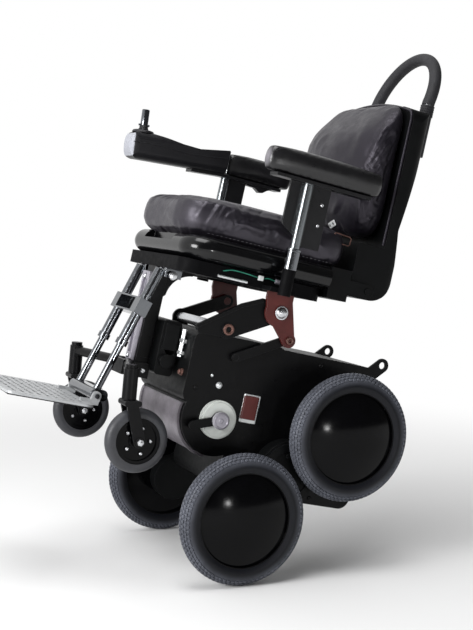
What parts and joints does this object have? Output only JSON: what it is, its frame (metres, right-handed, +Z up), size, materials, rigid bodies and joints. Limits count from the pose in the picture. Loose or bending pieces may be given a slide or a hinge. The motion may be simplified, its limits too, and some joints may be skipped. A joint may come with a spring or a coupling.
{
  "type": "stair climbing wheelchair",
  "caption": "Power wheelchair whose drive wheels turn in clusters to climb stairs, with lifting seat, armrests, joystick, push handle, swivel casters and folding footplate.",
  "frame": {"origin": "middle of the bounding box, on the floor under the lower drive wheels", "axes": "+X to the chair's left, +Y to its back, +Z up"},
  "size_m": [0.603, 1.1524, 1.3256],
  "materials": {
    "black_housing": "satin",
    "black_metal": "satin",
    "gloss_black": "gloss",
    "bare_steel": "brushed",
    "battery": "matte",
    "board": "matte",
    "cream_plastic": "satin",
    "tyre_rubber": "matte",
    "maroon_paint": "satin",
    "seat_cloth": "satin",
    "arm_vinyl": "satin",
    "foam": "matte",
    "chrome_tube": "polished",
    "post_chrome": "polished",
    "grey_metal": "satin",
    "bright_alu": "polished",
    "pod_plastic": "satin"
  },
  "bodies": {
    "power_base": {"base_shell": "black_housing", "left_side_plate": "black_metal", "right_side_plate": "black_metal", "shaft_bearings": "bare_steel", "battery_packs": "battery", "motor_cover": "grey_metal", "wheel_motors": "grey_metal", "cluster_motor": "grey_metal", "controller": "board", "left_motor_cap": "cream_plastic", "right_motor_cap": "cream_plastic"},
    "left_brake_lever": {"left_brake_lever": "black_housing"},
    "right_brake_lever": {"right_brake_lever": "black_housing"},
    "cluster": {"cluster_shaft": "bare_steel", "left_cluster_case": "black_housing", "right_cluster_case": "black_housing"},
    "left_front_wheel": {"left_front_tyre": "tyre_rubber", "left_front_wheel": "gloss_black"},
    "left_rear_wheel": {"left_rear_tyre": "tyre_rubber", "left_rear_wheel": "gloss_black"},
    "right_front_wheel": {"right_front_tyre": "tyre_rubber", "right_front_wheel": "gloss_black"},
    "right_rear_wheel": {"right_rear_tyre": "tyre_rubber", "right_rear_wheel": "gloss_black"},
    "lift_arms": {"left_lift_arm": "black_metal", "right_lift_arm": "black_metal", "lift_tube": "bare_steel"},
    "lower_links": {"left_lower_link": "black_metal", "right_lower_link": "black_metal"},
    "seat": {"left_hanger": "maroon_paint", "right_hanger": "maroon_paint", "seat_tray": "black_metal", "seat_pan": "gloss_black", "seat_cushion": "seat_cloth", "rear_housing": "black_housing", "front_column": "black_metal", "front_strut": "grey_metal", "caster_actuator": "black_housing", "caster_arms": "black_metal", "footrest_tubes": "chrome_tube"},
    "backrest": {"back_shell": "black_housing", "back_cushion": "seat_cloth", "handle_collars": "foam"},
    "push_handle": {"push_handle": "bare_steel", "handle_grip": "foam"},
    "left_armrest": {"left_arm_post": "post_chrome", "left_arm_pad": "arm_vinyl"},
    "right_armrest": {"right_arm_post": "post_chrome", "right_arm_pad": "arm_vinyl", "joystick_pod": "pod_plastic"},
    "joystick_gimbal": {"joystick_ring": "pod_plastic"},
    "joystick": {"joystick_stick": "pod_plastic"},
    "left_caster": {"left_caster_fork": "black_metal"},
    "left_caster_wheel": {"left_caster_wheel": "gloss_black", "left_caster_tyre": "tyre_rubber"},
    "right_caster": {"right_caster_fork": "black_metal"},
    "right_caster_wheel": {"right_caster_wheel": "gloss_black", "right_caster_tyre": "tyre_rubber"},
    "footrest": {"footrest_slides": "chrome_tube"},
    "footplate": {"footplate": "bright_alu"}
  },
  "joints": [
    {"name": "cluster_turn", "type": "hinge", "parent": "power_base", "child": "cluster", "pos_m": [0, 0.11131, 0.25239], "axis": [1, 0, 0], "continuous": true},
    {"name": "left_front_spin", "type": "hinge", "parent": "cluster", "child": "left_front_wheel", "pos_m": [0.2645, -0.02714, 0.159], "axis": [1, 0, 0], "continuous": true},
    {"name": "left_rear_spin", "type": "hinge", "parent": "cluster", "child": "left_rear_wheel", "pos_m": [0.2645, 0.24976, 0.34577], "axis": [1, 0, 0], "continuous": true},
    {"name": "right_front_spin", "type": "hinge", "parent": "cluster", "child": "right_front_wheel", "pos_m": [-0.2645, -0.02714, 0.159], "axis": [1, 0, 0], "continuous": true},
    {"name": "right_rear_spin", "type": "hinge", "parent": "cluster", "child": "right_rear_wheel", "pos_m": [-0.2645, 0.24976, 0.34577], "axis": [1, 0, 0], "continuous": true},
    {"name": "lift_raise", "type": "hinge", "parent": "power_base", "child": "lift_arms", "pos_m": [0, -0.04296, 0.60123], "axis": [1, 0, 0], "range_deg": [0, 50]},
    {"name": "seat_level", "type": "hinge", "parent": "lift_arms", "child": "seat", "pos_m": [0, 0.09283, 0.64275], "axis": [1, 0, 0], "range_deg": [-50, 0]},
    {"name": "link_swing", "type": "hinge", "parent": "power_base", "child": "lower_links", "pos_m": [0, -0.01768, 0.53214], "axis": [1, 0, 0], "range_deg": [0, 50]},
    {"name": "left_brake_turn", "type": "hinge", "parent": "power_base", "child": "left_brake_lever", "pos_m": [0.17, -0.0553, 0.38053], "axis": [-1, 0, 0], "range_deg": [0, 45]},
    {"name": "right_brake_turn", "type": "hinge", "parent": "power_base", "child": "right_brake_lever", "pos_m": [-0.17, -0.0553, 0.38053], "axis": [-1, 0, 0], "range_deg": [0, 45]},
    {"name": "backrest_recline", "type": "hinge", "parent": "seat", "child": "backrest", "pos_m": [0, 0.31049, 0.70061], "axis": [-1, 0, 0], "range_deg": [0, 20]},
    {"name": "handle_slide", "type": "slide", "parent": "backrest", "child": "push_handle", "axis": [0, 0.1908, 0.9816], "range_m": [0, 0.05]},
    {"name": "left_arm_slide", "type": "slide", "parent": "seat", "child": "left_armrest", "axis": [0, 0.1908, 0.9816], "range_m": [0, 0.06]},
    {"name": "right_arm_slide", "type": "slide", "parent": "seat", "child": "right_armrest", "axis": [0, 0.1908, 0.9816], "range_m": [-0.017, 0.043]},
    {"name": "joystick_fore_aft", "type": "hinge", "parent": "right_armrest", "child": "joystick_gimbal", "pos_m": [-0.255, -0.13011, 1.07447], "axis": [1, 0, 0], "range_deg": [-15, 15], "stiffness_Nm_per_rad": 0.4},
    {"name": "joystick_side", "type": "hinge", "parent": "joystick_gimbal", "child": "joystick", "pos_m": [-0.255, -0.13011, 1.07447], "axis": [0, 0.9945, -0.1045], "range_deg": [-15, 15], "stiffness_Nm_per_rad": 0.4},
    {"name": "left_caster_swivel", "type": "hinge", "parent": "seat", "child": "left_caster", "pos_m": [0.22, -0.30377, 0.48588], "axis": [0, 0.0523, 0.9986], "continuous": true},
    {"name": "right_caster_swivel", "type": "hinge", "parent": "seat", "child": "right_caster", "pos_m": [-0.22, -0.30377, 0.48588], "axis": [0, 0.0523, 0.9986], "continuous": true},
    {"name": "left_caster_spin", "type": "hinge", "parent": "left_caster", "child": "left_caster_wheel", "pos_m": [0.22, -0.28487, 0.3497], "axis": [1, 0, 0], "continuous": true},
    {"name": "right_caster_spin", "type": "hinge", "parent": "right_caster", "child": "right_caster_wheel", "pos_m": [-0.22, -0.28487, 0.3497], "axis": [1, 0, 0], "continuous": true},
    {"name": "footrest_length", "type": "slide", "parent": "seat", "child": "footrest", "axis": [0, -0.4602, -0.8878], "range_m": [0, 0.06]},
    {"name": "footplate_fold", "type": "hinge", "parent": "footrest", "child": "footplate", "pos_m": [0, -0.34428, 0.43466], "axis": [-1, 0, 0], "range_deg": [0, 85]}
  ],
  "couplings": [
    {"joint": "left_rear_spin", "follows": "left_front_spin", "ratio": 1},
    {"joint": "right_rear_spin", "follows": "right_front_spin", "ratio": 1},
    {"joint": "seat_level", "follows": "lift_raise", "ratio": -1},
    {"joint": "link_swing", "follows": "lift_raise", "ratio": 1}
  ]
}
